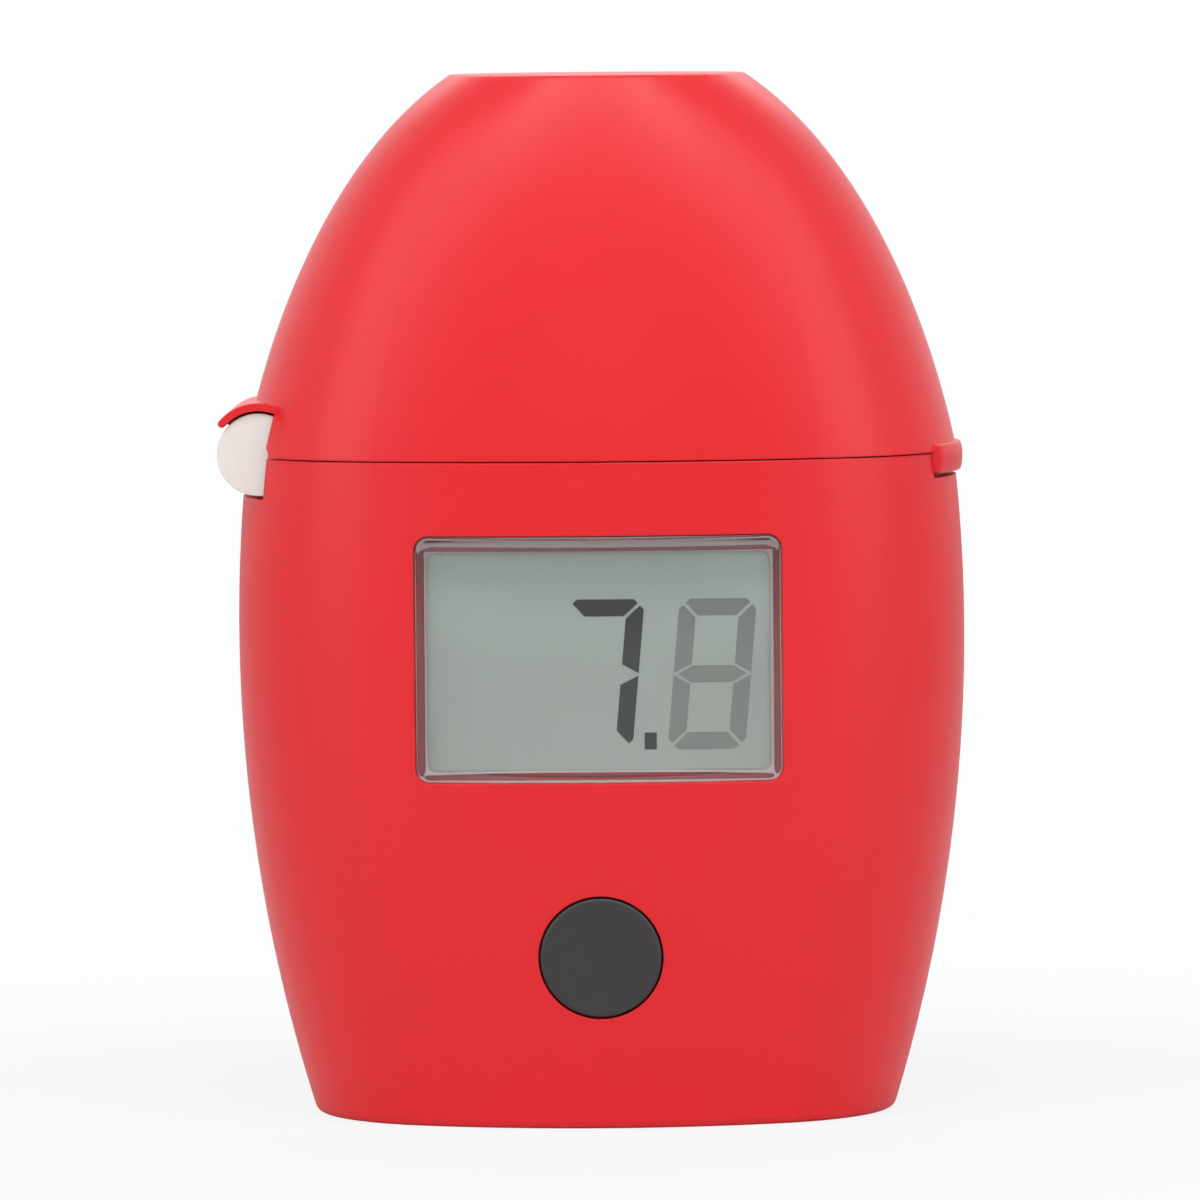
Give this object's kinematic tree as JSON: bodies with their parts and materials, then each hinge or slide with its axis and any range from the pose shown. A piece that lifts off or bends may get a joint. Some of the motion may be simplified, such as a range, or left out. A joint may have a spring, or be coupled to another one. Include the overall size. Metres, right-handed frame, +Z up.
{
  "type": "portable colorimeter",
  "caption": "Pocket colorimeter: oval two-part case with a window, display and push button, and a hinged domed lid over a round cuvette well.",
  "frame": {"origin": "centre of the flat base, on the surface that it stands on", "axes": "+Z up, -Y towards the display side, +X to the viewer's right; the lid's hinge is at -X"},
  "size_m": [0.0615, 0.0373, 0.086],
  "materials": {
    "case_plastic": "satin moulded ABS",
    "lid_plastic": "satin moulded ABS",
    "door_plastic": "satin moulded ABS",
    "hinge_plastic": "natural acetal",
    "window_acrylic": "clear polished acrylic",
    "display_glass": "reflective display glass",
    "white_plastic": "moulded ABS",
    "reflector_film": "satin film",
    "contact_rubber": "silicone",
    "circuit_board": "solder mask on glass epoxy",
    "black_plastic": "moulded ABS",
    "chip_epoxy": "moulded epoxy",
    "plated_steel": "zinc plated",
    "button_rubber": "satin moulded plastic",
    "lamp_resin": "clear epoxy resin",
    "filter_glass": "coated glass",
    "seal_foam": "closed-cell foam",
    "battery_jacket": "printed sleeve on a steel can",
    "contact_steel": "nickel plated"
  },
  "bodies": {
    "case": {"front_shell": "case_plastic", "rear_shell": "case_plastic", "window_lens": "window_acrylic", "display_glass": "display_glass", "display_frame": "white_plastic", "display_reflector": "reflector_film", "display_contact_strips": "contact_rubber", "main_board": "circuit_board", "controller_chip": "chip_epoxy", "amplifier_chip": "chip_epoxy", "crystal_can": "plated_steel", "board_capacitor": "plated_steel", "board_screws": "plated_steel", "tact_switch": "black_plastic", "cuvette_well": "black_plastic", "led_holder": "black_plastic", "led_lamp": "lamp_resin", "led_board": "circuit_board", "sensor_holder": "black_plastic", "light_filter": "filter_glass", "photodiode": "chip_epoxy", "sensor_board": "circuit_board", "inner_deck": "black_plastic", "light_seal": "seal_foam", "hinge_frame": "hinge_plastic", "hinge_pin": "plated_steel", "battery_cell": "battery_jacket", "battery_tray": "black_plastic", "contact_spring": "contact_steel", "contact_plate": "contact_steel", "case_screws": "plated_steel"},
    "lid": {"lid_shell": "lid_plastic", "lid_liner": "black_plastic"},
    "button": {"button_cap": "button_rubber"},
    "battery_door": {"battery_door": "door_plastic", "door_screw": "plated_steel"}
  },
  "joints": [
    {"name": "lid_hinge", "type": "hinge", "parent": "case", "child": "lid", "pos_m": [-0.028, 0, 0.055], "axis": [0, -1, 0], "range_deg": [0, 95]},
    {"name": "button_press", "type": "slide", "parent": "case", "child": "button", "axis": [0, 0.9961, 0.088], "range_m": [0, 0.0005], "stiffness_N_per_m": 400},
    {"name": "battery_door_slide", "type": "slide", "parent": "case", "child": "battery_door", "axis": [0, 1, 0], "range_m": [0, 0.012]}
  ]
}
